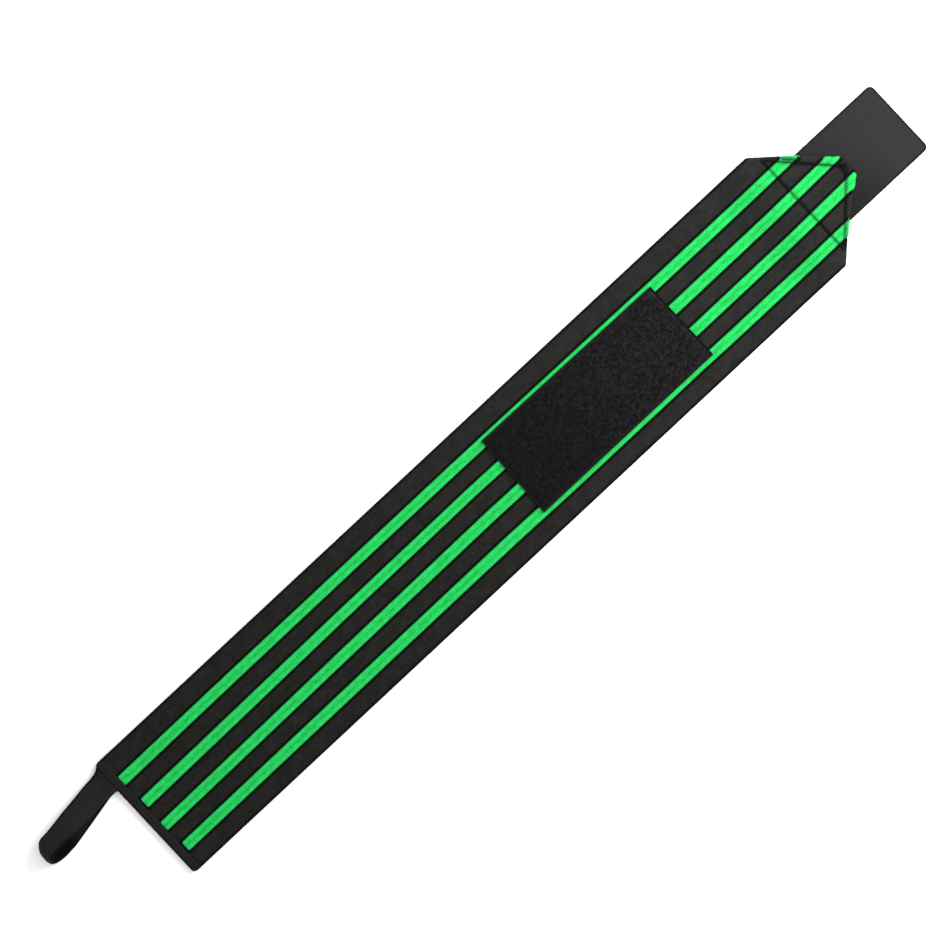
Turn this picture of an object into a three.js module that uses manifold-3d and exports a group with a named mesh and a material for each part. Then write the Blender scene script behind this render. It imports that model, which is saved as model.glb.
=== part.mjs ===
// A wrist wrap, lying flat with its outer face up: a long elastic band with woven stripes, a thumb loop
// caught in a binding at one end, a hook tab under the folded tip, and a loop patch on its face.
// Sizes are in millimetres. +X runs along the band towards the tab, +Y across it, +Z up.
// A station is a distance along the band from the outside of the bound end.
import * as THREE from 'three';
import { mergeVertices } from 'three/addons/utils/BufferGeometryUtils.js';
import Module from 'manifold-3d';

const wasm = await Module();
wasm.setup();

// The elastic band
const bandWidth = 80;
const bandLength = 523.5;
const bandThickness = 1.8;
const endCornerRadius = 2.5;

// The tip: its two corners are folded under along slanting lines and leave a blunt end
const tipTaper = 38.5;
const tipWidth = 12;
const tipShift = -1;

// Cloth layers that lie on each other keep this much air, and a piece set into another keeps the smaller one
const plyGap = 0.2;
const setGap = 0.1;

// The woven stripes stand proud of the face and reach down into the elastic
const stripeCount = 4;
const stripeWidth = 6.4;
const stripePitch = 16.5;
const stripeShift = -0.9;
const stripeRise = 0.45;
const stripeDepth = 0.5;
const stripeShoulder = 0.9;
const stripeGroove = 1.2;

// The binding folded over the end
const bindingReach = 6;
const bindingThickness = 0.7;
const endRampLength = 16;

// The thumb loop: a tape whose two ends are caught in the binding and whose fold stands open to one side
const loopTapeWidth = 14;
const loopTapeThickness = 1.2;
const loopReach = 54;
const loopRootInset = 10.7;
const loopRootLength = 4.6;
const loopPressLength = 4;
const loopDropLength = 10.8;
const loopBowClosed = 6.4;
const loopBowOpen = 14.4;
const loopUpperSwing = 6;
const loopUnderSwing = 8;

// The hook tab
const tabWidth = 46.8;
const tabUnderTip = 36.5;
const tabBeyondTip = 38.5;
const tabShift = -0.3;
const tabTapeThickness = 0.9;
const tabHookHeight = 0.7;
const tabSelvage = 1.6;
const tabCornerRadius = 3;
const tabInnerRadius = 1;
const tipRampLength = 28;
const tipRampLead = 3;

// The loop patch
const patchLength = 126;
const patchWidth = 50.8;
const patchToTip = 124.2;
const patchShift = -0.6;
const patchTapeThickness = 0.8;
const patchPileHeight = 1.4;
const patchSelvage = 1.5;
const patchPileRound = 0.7;

// How finely curves are divided
const stationSpacing = 26;
const rampSegments = 7;
const arcSegments = 4;
const loopRootSegments = 2;
const loopLegSegments = 17;
const loopFoldSegments = 10;
const loopAcrossSegments = 4;

// How far the weave wanders sideways at the centre line: at is a share of the band's length, and aside a
// share of the stripes' pitch
const weaveDrift = [
  { at: 0.0, aside: -0.075 },
  { at: 0.11, aside: -0.03 },
  { at: 0.29, aside: 0.05 },
  { at: 0.48, aside: 0.105 },
  { at: 0.57, aside: 0.07 },
  { at: 0.77, aside: -0.05 },
  { at: 0.9, aside: -0.035 },
  { at: 1.0, aside: 0.045 },
];

// The thumb loop from its root to its fold: out is a share of its reach, upper and under are how far each
// layer has swung across, as shares of its swing, and open is how far the upper layer has risen
const loopSections = [
  { out: 0.0, upper: 0.0, under: 0.0, open: 0.0 },
  { out: 0.1, upper: 0.04, under: 0.11, open: 0.05 },
  { out: 0.22, upper: 0.12, under: 0.29, open: 0.2 },
  { out: 0.37, upper: 0.32, under: 0.5, open: 0.48 },
  { out: 0.56, upper: 0.54, under: 0.76, open: 0.84 },
  { out: 0.68, upper: 0.73, under: 0.92, open: 0.97 },
  { out: 0.8, upper: 0.88, under: 0.99, open: 1.0 },
  { out: 1.0, upper: 1.0, under: 1.0, open: 1.0 },
];

// Levels and stations that follow from those sizes
const halfWidth = bandWidth / 2;
const loopRootAcross = halfWidth - loopRootInset;
const shoulderStation = bandLength - tipTaper;
const tabThickness = tabTapeThickness + tabHookHeight;
const flapLevel = tabThickness + plyGap;
const foldRadius = bandThickness + plyGap / 2;
const tipLift = flapLevel + bandThickness + plyGap;
const endLift = bindingThickness + setGap;
const bandStart = bindingThickness + setGap;
const stripeStart = bindingReach + setGap;
const stripeEndInset = 1;
const tipRampEnd = shoulderStation - tipRampLead;
const patchEnd = bandLength - patchToTip;
const patchLevel = bandThickness + stripeRise + setGap;

// A rise from 0 to 1 that starts and ends level
function easeRise(share) {
  const t = THREE.MathUtils.clamp(share, 0, 1);
  return t * t * (3 - 2 * t);
}

// Reads one column of a table, straight between its rows
function readColumn(rows, key, column, value) {
  const last = rows.length - 1;
  const next = rows.findIndex((row) => row[key] > value);
  if (next === 0) return rows[0][column];
  if (next < 0) return rows[last][column];
  const low = rows[next - 1];
  const high = rows[next];
  const share = (value - low[key]) / (high[key] - low[key]);
  return THREE.MathUtils.lerp(low[column], high[column], share);
}

// How high the band's underside lies: it climbs onto the binding at one end and onto the tab at the other
function bandLift(station) {
  const fromEnd = endLift * (1 - easeRise((station - bindingReach) / endRampLength));
  const toTip = tipLift * easeRise((station - tipRampEnd + tipRampLength) / tipRampLength);
  return fromEnd + toTip;
}

// A point of the band: the drift moves it sideways in full at the centre line and not at all at the edges
function onBand(station, across, height) {
  const drift = stripePitch * readColumn(weaveDrift, 'at', 'aside', station / bandLength);
  const hold = Math.max(0, 1 - Math.abs(across) / halfWidth);
  return [station, across + drift * hold, height + bandLift(station)];
}

// The same without the drift, for what is sewn on
function overBand(station, across, height) {
  return [station, across, height + bandLift(station)];
}

// The stations at which a strand is divided: evenly, and closely where the band climbs
function stationsBetween(from, to) {
  const stations = [from, to];
  for (let s = stationSpacing; s < bandLength; s += stationSpacing) {
    stations.push(s);
  }
  for (let i = 0; i <= rampSegments; i += 1) {
    stations.push(bindingReach + (endRampLength * i) / rampSegments);
    stations.push(tipRampEnd - tipRampLength + (tipRampLength * i) / rampSegments);
  }
  const inside = stations.filter((s) => s >= from && s <= to).sort((a, b) => a - b);
  return inside.filter((s, i) => i === 0 || s - inside[i - 1] > 0.01);
}

// Moves every corner of a geometry to where a rule puts it
function reshape(geometry, rule) {
  const corners = geometry.getAttribute('position');
  for (let i = 0; i < corners.count; i += 1) {
    corners.setXYZ(i, ...rule(corners.getX(i), corners.getY(i), corners.getZ(i)));
  }
  return geometry;
}

// A closed geometry as a solid that can be cut and joined
function solidOf(geometry) {
  const bare = new THREE.BufferGeometry();
  bare.setAttribute('position', geometry.getAttribute('position'));
  bare.setIndex(geometry.index);
  const merged = mergeVertices(bare, 1e-5);
  return new wasm.Manifold(new wasm.Mesh({
    numProp: 3,
    vertProperties: merged.getAttribute('position').array,
    triVerts: Uint32Array.from(merged.index.array),
  }));
}

// A solid as a geometry again
function geometryOf(solid) {
  const mesh = solid.getMesh();
  const geometry = new THREE.BufferGeometry();
  geometry.setAttribute('position', new THREE.BufferAttribute(Float32Array.from(mesh.vertProperties), 3));
  geometry.setIndex(new THREE.BufferAttribute(Uint32Array.from(mesh.triVerts), 1));
  geometry.computeVertexNormals();
  return geometry;
}

// A section, drawn across and up, carried along the band between two stations
function strand(section, from, to, rule = onBand) {
  const stations = stationsBetween(from, to);
  const steps = stations.length - 1;
  const options = { depth: steps, steps, bevelEnabled: false, curveSegments: arcSegments };
  const bar = new THREE.ExtrudeGeometry(section, options);
  return solidOf(reshape(bar, (across, height, step) => rule(stations[Math.round(step)], across, height)));
}

// An outline in plan, raised between two levels
function prism(outline, low, high) {
  const options = { depth: high - low, bevelEnabled: false, curveSegments: arcSegments };
  return solidOf(new THREE.ExtrudeGeometry(outline, options).translate(0, 0, low));
}

// A closed outline through corners
function outlineOf(corners) {
  return new THREE.Shape(corners.map(([x, y]) => new THREE.Vector2(x, y)));
}

// A block between two corners
function block(low, high) {
  const size = high.map((value, i) => value - low[i]);
  const middle = high.map((value, i) => (value + low[i]) / 2);
  return solidOf(new THREE.BoxGeometry(...size).translate(...middle));
}

// A rectangle in plan with rounded corners at its low or high end, or at both
function roundedPlan(from, to, acrossLow, acrossHigh, lowRadius, highRadius) {
  const plan = new THREE.Shape();
  plan.moveTo(from + lowRadius, acrossLow);
  plan.lineTo(to - highRadius, acrossLow);
  plan.absarc(to - highRadius, acrossLow + highRadius, highRadius, -Math.PI / 2, 0);
  plan.absarc(to - highRadius, acrossHigh - highRadius, highRadius, 0, Math.PI / 2);
  plan.lineTo(from + lowRadius, acrossHigh);
  plan.absarc(from + lowRadius, acrossHigh - lowRadius, lowRadius, Math.PI / 2, Math.PI);
  plan.absarc(from + lowRadius, acrossLow + lowRadius, lowRadius, Math.PI, (3 * Math.PI) / 2);
  return plan;
}

// The band's own section: a flat web with round selvages
function bandSection() {
  const radius = bandThickness / 2;
  const section = new THREE.Shape();
  section.moveTo(-halfWidth + radius, 0);
  section.lineTo(halfWidth - radius, 0);
  section.absarc(halfWidth - radius, radius, radius, -Math.PI / 2, Math.PI / 2);
  section.lineTo(-halfWidth + radius, bandThickness);
  section.absarc(-halfWidth + radius, radius, radius, Math.PI / 2, (3 * Math.PI) / 2);
  return section;
}

// Where a stripe's middle lies across the band, before the drift
function stripeAcross(index) {
  return stripeShift + stripePitch * ((stripeCount - 1) / 2 - index);
}

// A stripe's section: two ribs with a shallow groove between them, on a flat root
function stripeSection(middle) {
  const half = stripeWidth / 2;
  const root = bandThickness - stripeDepth + setGap;
  const crest = bandThickness + stripeRise;
  return outlineOf([
    [middle - half, root],
    [middle + half, root],
    [middle + half, bandThickness],
    [middle + half - stripeShoulder, crest],
    [middle + stripeGroove / 2, crest],
    [middle, bandThickness + stripeRise / 2],
    [middle - stripeGroove / 2, crest],
    [middle - half + stripeShoulder, crest],
    [middle - half, bandThickness],
  ]);
}

// The channel that a stripe lies in
function channelSection(middle) {
  const half = stripeWidth / 2 + setGap;
  const floor = bandThickness - stripeDepth;
  const above = bandThickness + stripeRise + 1;
  return outlineOf([
    [middle - half, floor],
    [middle + half, floor],
    [middle + half, above],
    [middle - half, above],
  ]);
}

// One of the tip's slanting fold lines, on the side of +Y or -Y: its ends, its direction and the way out
function foldLine(side) {
  const start = new THREE.Vector2(shoulderStation, side * halfWidth);
  const end = new THREE.Vector2(bandLength, tipShift + (side * tipWidth) / 2);
  const direction = end.clone().sub(start).normalize();
  const outward = new THREE.Vector2(-side * direction.y, side * direction.x);
  return { start, end, direction, outward, length: end.distanceTo(start) };
}

// A point given by its distances along a fold line and out from it
function fromFold(line, along, out) {
  const point = line.start.clone().addScaledVector(line.direction, along).addScaledVector(line.outward, out);
  return [point.x, point.y];
}

// Everything outside a fold line that is moved inwards by an inset
function beyondFold(side, inset) {
  const line = foldLine(side);
  const spare = bandWidth;
  return prism(outlineOf([
    fromFold(line, -spare, -inset),
    fromFold(line, line.length + spare, -inset),
    fromFold(line, line.length + spare, spare),
    fromFold(line, -spare, spare),
  ]), -1, tipLift + 2 * bandThickness);
}

function cutAtFolds(solid, inset) {
  return solid.subtract(beyondFold(1, inset)).subtract(beyondFold(-1, inset));
}

// The section of a fold, drawn inwards from the fold line and up from the flap's underside: a short upper
// leg that runs into the band, the round turn, and a lower leg as deep as the flap
function hairpinSection(depth) {
  const top = 2 * foldRadius;
  const stub = foldRadius + plyGap;
  const section = new THREE.Shape();
  section.moveTo(stub, top);
  section.lineTo(foldRadius, top);
  section.absarc(foldRadius, foldRadius, foldRadius, Math.PI / 2, (3 * Math.PI) / 2);
  section.lineTo(depth, 0);
  section.lineTo(depth, bandThickness);
  section.lineTo(foldRadius, bandThickness);
  section.absarc(foldRadius, foldRadius, plyGap / 2, (3 * Math.PI) / 2, Math.PI / 2, true);
  section.lineTo(stub, top - bandThickness);
  return section;
}

// A corner of the band folded under along its fold line, so that its selvage lies across the band
function foldedCorner(side) {
  const line = foldLine(side);
  const corner = new THREE.Vector2(bandLength, side * halfWidth);
  const toCorner = corner.clone().sub(line.start);
  const along = toCorner.dot(line.direction);
  const depth = toCorner.dot(line.outward);
  const spare = 2 * bandThickness;
  const span = line.length + 2 * spare;
  const options = { depth: span, steps: 1, bevelEnabled: false, curveSegments: 2 * arcSegments };
  const bar = new THREE.ExtrudeGeometry(hairpinSection(depth + spare), options);
  const turn = reshape(bar, (inward, height, run) => {
    const place = side > 0 ? line.length + spare - run : run - spare;
    return [...fromFold(line, place, -inward), flapLevel + height];
  });
  const top = tipLift + 2 * bandThickness;
  const flap = prism(outlineOf([
    fromFold(line, 0, 0),
    fromFold(line, line.length, 0),
    fromFold(line, along, -depth),
  ]), -1, top);
  const rim = prism(outlineOf([
    fromFold(line, -spare, -foldRadius - plyGap),
    fromFold(line, line.length + spare, -foldRadius - plyGap),
    fromFold(line, line.length + spare, spare),
    fromFold(line, -spare, spare),
  ]), -1, top);
  const plan = block([0, -halfWidth, -1], [bandLength, halfWidth, top]);
  return solidOf(turn).intersect(flap.add(rim)).intersect(plan);
}

// The place in the band and the binding where the loop's ends go in
function loopSlot(from, to) {
  const half = loopTapeWidth / 2 + setGap;
  const low = endLift - setGap;
  return block(
    [from, loopRootAcross - half, low],
    [to, loopRootAcross + half, low + bandThickness + 2 * setGap],
  );
}

function band() {
  let solid = cutAtFolds(strand(bandSection(), bandStart, bandLength), foldRadius);
  solid = solid.add(foldedCorner(1)).add(foldedCorner(-1));
  const plan = roundedPlan(0, 2 * bandLength, -halfWidth, halfWidth, endCornerRadius, endCornerRadius);
  solid = solid.intersect(prism(plan, -1, tipLift + 2 * bandThickness));
  for (let i = 0; i < stripeCount; i += 1) {
    const channel = strand(channelSection(stripeAcross(i)), bandStart, bandLength - stripeEndInset + setGap);
    solid = solid.subtract(cutAtFolds(channel, stripeEndInset - setGap));
  }
  return solid.subtract(loopSlot(0, loopRootLength + setGap));
}

function stripe(index) {
  const bar = strand(stripeSection(stripeAcross(index)), stripeStart, bandLength - stripeEndInset);
  return cutAtFolds(bar, stripeEndInset);
}

// The binding: a tape folded round the end, with a slit for the loop's two ends
function endBinding() {
  const height = bandThickness + 2 * setGap + 2 * bindingThickness;
  const section = new THREE.Shape();
  section.moveTo(bindingReach, 0);
  section.lineTo(bindingReach, bindingThickness);
  section.lineTo(bindingThickness, bindingThickness);
  section.lineTo(bindingThickness, height - bindingThickness);
  section.lineTo(bindingReach, height - bindingThickness);
  section.lineTo(bindingReach, height);
  section.lineTo(bindingThickness, height);
  section.absarc(bindingThickness, height - bindingThickness, bindingThickness, Math.PI / 2, Math.PI);
  section.absarc(bindingThickness, bindingThickness, bindingThickness, Math.PI, (3 * Math.PI) / 2);
  const options = { depth: bandWidth, bevelEnabled: false, curveSegments: arcSegments };
  const tape = new THREE.ExtrudeGeometry(section, options);
  const bar = reshape(tape, (along, up, run) => [along, halfWidth - run, up]);
  const plan = roundedPlan(0, bandWidth, -halfWidth, halfWidth, endCornerRadius, endCornerRadius);
  return solidOf(bar).intersect(prism(plan, -1, height + 1)).subtract(loopSlot(-1, bindingReach - setGap));
}

// How far out of the binding a place on the loop is, as a share of its reach
function loopOut(x) {
  return THREE.MathUtils.clamp((-x - setGap) / (loopReach - setGap), 0, 1);
}

// Where a place on a leg of the loop lies along the band: its first divisions are inside the binding
function legStation(legRun, foldX) {
  const rootShare = loopRootSegments / loopLegSegments;
  if (legRun < rootShare) return THREE.MathUtils.lerp(loopRootLength, -setGap, legRun / rootShare);
  return THREE.MathUtils.lerp(-setGap, foldX, (legRun - rootShare) / (1 - rootShare));
}

// The middle of the loop's tape: run goes from 0 at the upper root, round the fold, to 1 at the under root,
// and side from -1 at the open edge to 1 at the closed edge
function loopMiddle(run, side) {
  const legShare = loopLegSegments / (2 * loopLegSegments + loopFoldSegments);
  const bow = THREE.MathUtils.mapLinear(side, -1, 1, loopBowOpen, loopBowClosed);
  const foldX = loopTapeThickness / 2 + bow / 2 - loopReach;
  const turn = Math.PI * THREE.MathUtils.clamp((run - legShare) / (1 - 2 * legShare), 0, 1);
  const legRun = THREE.MathUtils.clamp(Math.min(run, 1 - run) / legShare, 0, 1);
  const x = legStation(legRun, foldX) - (bow / 2) * Math.sin(turn);
  const out = loopOut(x);
  const upper = loopUpperLayer(out, side, bow);
  const under = loopUnderLayer(out, side);
  const passed = run > 0.5 ? 1 : 0;
  const blend = turn > 0 && turn < Math.PI ? (1 - Math.cos(turn)) / 2 : passed;
  return new THREE.Vector3(
    x,
    THREE.MathUtils.lerp(upper.across, under.across, blend),
    THREE.MathUtils.lerp(upper.height, under.height, blend),
  );
}

// The upper layer rises towards the fold, more on its open side, and so looks narrower from above
function loopUpperLayer(out, side, bow) {
  const root = endLift + (bandThickness + plyGap) / 2 + (bandThickness - plyGap) / 4;
  const open = readColumn(loopSections, 'out', 'open', out);
  const rise = (topBow) => (loopTapeThickness / 2 + topBow - root) * open;
  const tilt = rise(loopBowOpen) - rise(loopBowClosed);
  const planWidth = Math.sqrt(loopTapeWidth ** 2 - tilt ** 2);
  const swing = loopUpperSwing * readColumn(loopSections, 'out', 'upper', out);
  const edge = loopRootAcross + loopTapeWidth / 2 - swing;
  return { across: edge - ((1 - side) / 2) * planWidth, height: root + rise(bow) };
}

// The under layer comes down from the binding and lies on the surface, turned further across
function loopUnderLayer(out, side) {
  const root = endLift + (bandThickness - plyGap) / 4;
  const drop = (root - loopTapeThickness / 2) * easeRise((out * loopReach) / loopDropLength);
  const swing = loopUnderSwing * readColumn(loopSections, 'out', 'under', out);
  return { across: loopRootAcross - swing + (side * loopTapeWidth) / 2, height: root - drop };
}

// The tape is a flat box bent round that middle, pressed thin where the binding holds it
function thumbLoop() {
  const runSegments = 2 * loopLegSegments + loopFoldSegments;
  const pressed = (bandThickness - plyGap) / 2;
  const step = 1e-3;
  const flat = new THREE.BoxGeometry(1, 2, 1, runSegments, loopAcrossSegments, 1);
  const bent = reshape(flat, (along, side, layer) => {
    const run = along + 0.5;
    const middle = loopMiddle(run, side);
    const ahead = loopMiddle(Math.min(run + step, 1), side).sub(loopMiddle(Math.max(run - step, 0), side));
    const sideways = loopMiddle(run, Math.min(side + step, 1)).sub(loopMiddle(run, Math.max(side - step, -1)));
    const normal = ahead.cross(sideways).normalize();
    const free = easeRise((loopOut(middle.x) * loopReach) / loopPressLength);
    const thickness = THREE.MathUtils.lerp(pressed, loopTapeThickness, free);
    const point = middle.addScaledVector(normal, layer * thickness);
    return [point.x, point.y, Math.max(0, point.z)];
  });
  return solidOf(bent);
}

// The hook tab: a flat tape with round free corners, and the field of hooks under it
function hookTab() {
  const from = bandLength - tabUnderTip;
  const to = bandLength + tabBeyondTip;
  const half = tabWidth / 2;
  const plan = (inset) => roundedPlan(
    from + inset,
    to - inset,
    tabShift - half + inset,
    tabShift + half - inset,
    tabInnerRadius,
    tabCornerRadius,
  );
  const tape = prism(plan(0), tabHookHeight, tabThickness);
  const hooks = prism(plan(tabSelvage), 0, tabHookHeight + tabTapeThickness / 2);
  return tape.add(hooks);
}

// The loop patch: a woven tape with bare selvages, and the pile that stands on it
function loopPatch() {
  const half = patchWidth / 2;
  const pile = half - patchSelvage;
  const low = patchLevel;
  const tape = low + patchTapeThickness;
  const crest = tape + patchPileHeight;
  const section = outlineOf([
    [patchShift - half, low],
    [patchShift + half, low],
    [patchShift + half, tape],
    [patchShift + pile, tape],
    [patchShift + pile, crest - patchPileRound],
    [patchShift + pile - patchPileRound, crest],
    [patchShift - pile + patchPileRound, crest],
    [patchShift - pile, crest - patchPileRound],
    [patchShift - pile, tape],
    [patchShift - half, tape],
  ]);
  return strand(section, patchEnd - patchLength, patchEnd, overBand);
}

// What each material looks like
const elasticBlack = { color: 0x2c2d2c, roughness: 0.85, metalness: 0 };
const yarnGreen = { color: 0x2fe06d, roughness: 0.7, metalness: 0 };
const bindingBlack = { color: 0x262726, roughness: 0.85, metalness: 0 };
const loopBlack = { color: 0x2a2a2a, roughness: 0.85, metalness: 0 };
const hookGrey = { color: 0x404040, roughness: 0.6, metalness: 0 };
const pileBlack = { color: 0x1e1e1e, roughness: 0.95, metalness: 0 };

function named(name, solid, look) {
  const mesh = new THREE.Mesh(geometryOf(solid), new THREE.MeshStandardMaterial(look));
  mesh.name = name;
  return mesh;
}

const wrap = new THREE.Group();
wrap.add(named('band', band(), elasticBlack));
for (let i = 0; i < stripeCount; i += 1) {
  wrap.add(named(`stripe_${i + 1}`, stripe(i), yarnGreen));
}
wrap.add(named('end_binding', endBinding(), bindingBlack));
wrap.add(named('thumb_loop', thumbLoop(), loopBlack));
wrap.add(named('hook_tab', hookTab(), hookGrey));
wrap.add(named('loop_patch', loopPatch(), pileBlack));

// The origin is the middle of the underside of the whole part's box
const box = new THREE.Box3().setFromObject(wrap);
const centre = box.getCenter(new THREE.Vector3());
wrap.position.set(-centre.x, -centre.y, -box.min.z);

export default wrap;
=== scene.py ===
"""A wrist wrap lying flat: elastic webbing with green stripes, a thumb loop, a pile patch and a hook tab.

X runs along the wrap from the loop to the tab, Y across it and Z up from the surface that it lies on. A place
on the flat webbing is a station, counted along it from the outer edge of the end binding, and an across,
counted from its middle line. Shapes are worked out in millimetres and put into the meshes in metres. A mark
is a number from 0 to 1 or so for each point of a mesh, which its material reads: sunk is painted shade,
crest and raised are a painted highlight, worn is painted light that lightens the webbing towards the tip,
and brushed says how far the pile stands up and also how strong its painted light and mottle are.
"""
import bpy
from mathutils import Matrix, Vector
import numpy as np


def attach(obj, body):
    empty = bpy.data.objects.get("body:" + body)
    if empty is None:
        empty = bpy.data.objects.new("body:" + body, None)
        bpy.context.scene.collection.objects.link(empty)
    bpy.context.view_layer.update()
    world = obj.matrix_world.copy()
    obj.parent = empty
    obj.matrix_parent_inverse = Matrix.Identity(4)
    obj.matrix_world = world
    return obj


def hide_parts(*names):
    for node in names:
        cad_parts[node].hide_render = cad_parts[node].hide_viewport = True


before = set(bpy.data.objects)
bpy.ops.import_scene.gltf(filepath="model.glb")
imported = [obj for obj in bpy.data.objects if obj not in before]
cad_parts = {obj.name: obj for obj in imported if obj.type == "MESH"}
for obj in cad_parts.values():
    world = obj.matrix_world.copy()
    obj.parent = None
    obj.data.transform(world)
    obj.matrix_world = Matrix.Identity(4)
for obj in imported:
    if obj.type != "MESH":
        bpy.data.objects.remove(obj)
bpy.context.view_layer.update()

MM = 0.001

# A distance past any on the wrap, and the angle in degrees past which an edge is drawn sharp
FAR = 99.0
SHARP_ANGLE = 55

# The webbing, in millimetres
STATION_AT_ORIGIN = 254.0
BAND_LENGTH = 523.5
BAND_START = 0.8
HALF_WIDTH = 40.0
THICKNESS = 1.8
SELVAGE_ROUND = 0.9
SHOULDER = 485.0
TIP_WIDTH = 12.0
TIP_SHIFT = -1.0
FOLD_BOW = 0.9
# Shares of the upper fold line's length: where its bow begins to end, and over how much of it that goes on
BOW_ENDS = 0.55
BOW_FADE = 0.3
PLY_GAP = 0.2
TIP_LIFT = 3.8
TIP_RAMP_END = 482.0
TIP_RAMP = 28.0
END_LIFT = 0.8
END_RAMP = 16.0
END_CORNER = 2.5
DRAWN_LENGTH = 7.0
RIPPLE = 0.2
RIPPLE_ALONG = 29.0
RIPPLE_ACROSS = 23.0
RIPPLE_SLANT = 71.0
RIPPLE_START = 12.0
RIPPLE_END = 430.0
RIPPLE_FADE = 30.0
ROWS_BOUND = 8.0
ROWS_FOLDING = 468.0
COLUMN_SPACING = 0.9
# The painted shade along the webbing's outer edges: how far in it is full, and over how much it fades
EDGE_LINE = 0.7
EDGE_FADE = 1.4
# Painted light that lightens the webbing towards the tip: its share at the tip on the face, and on the
# underside
PAINTED_LIGHT_AT_TIP = 1.25
PAINTED_LIGHT_UNDER = 0.3
RIB_PITCH = 1.6
PICK_PITCH = 1.1

# The stripes
STRIPE_COUNT = 4
STRIPE_WIDTH = 6.25
STRIPE_PITCH = 16.5
STRIPE_SHIFT = -0.9
STRIPE_RISE = 0.45
STRIPE_DEPTH = 0.5
STRIPE_SHOULDER = 0.9
STRIPE_CORNER = 1.0
STRIPE_START = 5.3
START_SHIFT = (0.0, 0.9, 0.1, 1.2)
STRIPE_END = BAND_LENGTH - 1.0
GROOVE_WIDTH = 1.5
GROOVE_FLOOR = 0.45
# The painted shade in the groove beside each stripe: how far out from the stripe it is full, and its fade
LINE_WIDTH = 1.05
LINE_FADE = 0.75
DIP_DEPTH = 0.48
DIP_HALF = 2.0
# How far in from each side of a stripe its painted shade reaches
FLANK_WIDTH = 0.6
ROW_SPACING = 0.46
KNIT_DEPTH = 0.14
WALE_COUNT = 4
STITCH_LENGTH = 1.7
DRIFT_AT = (0, 0.11, 0.29, 0.48, 0.57, 0.77, 0.9, 1)
DRIFT_ASIDE = (-0.075, -0.03, 0.05, 0.105, 0.07, -0.05, -0.035, 0.045)
# Places where one stripe wanders by itself: station, across, reach along, reach across, shift
WANDERS = ((60.0, 23.8, 110.0, 7.0, 0.5), (298.0, -25.6, 36.0, 7.0, -0.45), (388.0, -25.6, 16.0, 7.0, 0.3))

# The end binding and the thumb loop
BINDING_REACH = 5.1
BINDING_HEIGHT = 3.4
BINDING_WALL = 0.7
BINDING_RIBS = 1.3
SLOT_SPARE = 0.5
SLOT_GAP = 0.2
LOOP_WIDTH = 14.0
LOOP_THICKNESS = 1.2
LOOP_REACH = 54.0
LOOP_FOLD = 0.24
LOOP_ROOTED = 0.09
LOOP_WALES = 2.2
LOOP_ROUND = 0.8
FLARE_CLOSED = 2.3
FLARE_OPEN = 1.2
FLARE_LENGTH = 2.2
LOOP_ROOT_ACROSS = 29.3
LOOP_ROOT_LENGTH = 4.6
LOOP_PRESS = 4.0
LOOP_DROP = 10.8
BOW_CLOSED = 6.4
BOW_OPEN = 14.4
LOOP_CORNER = 3.7
OPEN_CORNER = 1.4
UPPER_SWING = 6.0
UNDER_SWING = 8.0
SET_GAP = 0.1
LOOP_OUT = (0, 0.1, 0.22, 0.37, 0.56, 0.68, 0.8, 1)
LOOP_UPPER = (0, 0.04, 0.12, 0.32, 0.54, 0.73, 0.88, 1)
LOOP_UNDER = (0, 0.11, 0.29, 0.5, 0.76, 0.92, 0.99, 1)
LOOP_BOWED = (0, 0.05, 0.2, 0.48, 0.84, 0.97, 1, 1)

# The hook tab under the tip, and the pile patch
TAB_START = 487.0
TAB_END = 562.0
TAB_HALF = 23.4
TAB_SHIFT = -0.3
TAB_TAPE = 0.9
HOOK_HEIGHT = 0.7
TAB_SELVAGE = 1.6
TAB_CORNER = 3.0
TAB_WAVE = 0.05
TAB_WAVE_SIZE = 7.0
TAB_WAVE_SEED = 11
HOOK_SPACING = (1.55, 1.45)
HOOK_RADIUS = 0.1
TAB_SHADE = 0.22
TAB_SHADE_SIDE = 0.34
TAB_SHADE_LENGTH = 35.0
PATCH_START = 273.3
PATCH_END = 399.3
PATCH_HALF = 25.6
PATCH_SHIFT = -0.6
PATCH_LEVEL = 2.35
PATCH_TAPE = 0.8
PILE_HEIGHT = 1.4
PATCH_SELVAGE = 1.5
PATCH_CORNER = 0.6
PATCH_PRESS = 0.4
PATCH_PRESS_LENGTH = 5.0
PATCH_SLANT_LENGTH = 40.0
PATCH_TURN = 0.0038
PATCH_TAPER = 0.00022
# How far short of the patch's end by the tip the pile's foot and its loops stop
BED_SHORT = 1.3
PILE_SHORT = 1.8
PILE_SPACING = (1.55, 1.5)
PILE_JITTER = 0.7
PILE_RADIUS = 0.11
PILE_SEED = 21
TUFT_SIZES = (2.1, 1.0)
TUFT_SEEDS = (3, 4)
# The pile's brushing, which also sets how strong its painted light and mottle are: its least, start and
# length
BRUSHED_AND_PAINTED_LIGHT_LEAST = 0.42
BRUSHED_AND_PAINTED_LIGHT_START = 20.0
BRUSHED_AND_PAINTED_LIGHT_LENGTH = 80.0
# Added to places across, so that the cells of the random heights are counted from above 0
CELL_SHIFT = 60

# Seams on the tip, as pairs of places (station, across)
CROSS_SEAM = ((490.0, 33.2), (490.0, -33.4))
UPPER_SEAM = ((491.3, 32.0), (520.9, -0.4))
UPPER_SECOND = ((498.9, 25.8), (505.1, 19.3))
LOWER_SEAM = ((518.4, -4.4), (491.2, -31.8))
KNOT = ((520.7, -0.2), (518.4, -4.6))
TIP_SEAMS = (CROSS_SEAM, UPPER_SEAM, UPPER_SECOND, LOWER_SEAM, KNOT)
SEAM_REACH = 0.95
SEAM_DEPTH = 0.3
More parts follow.
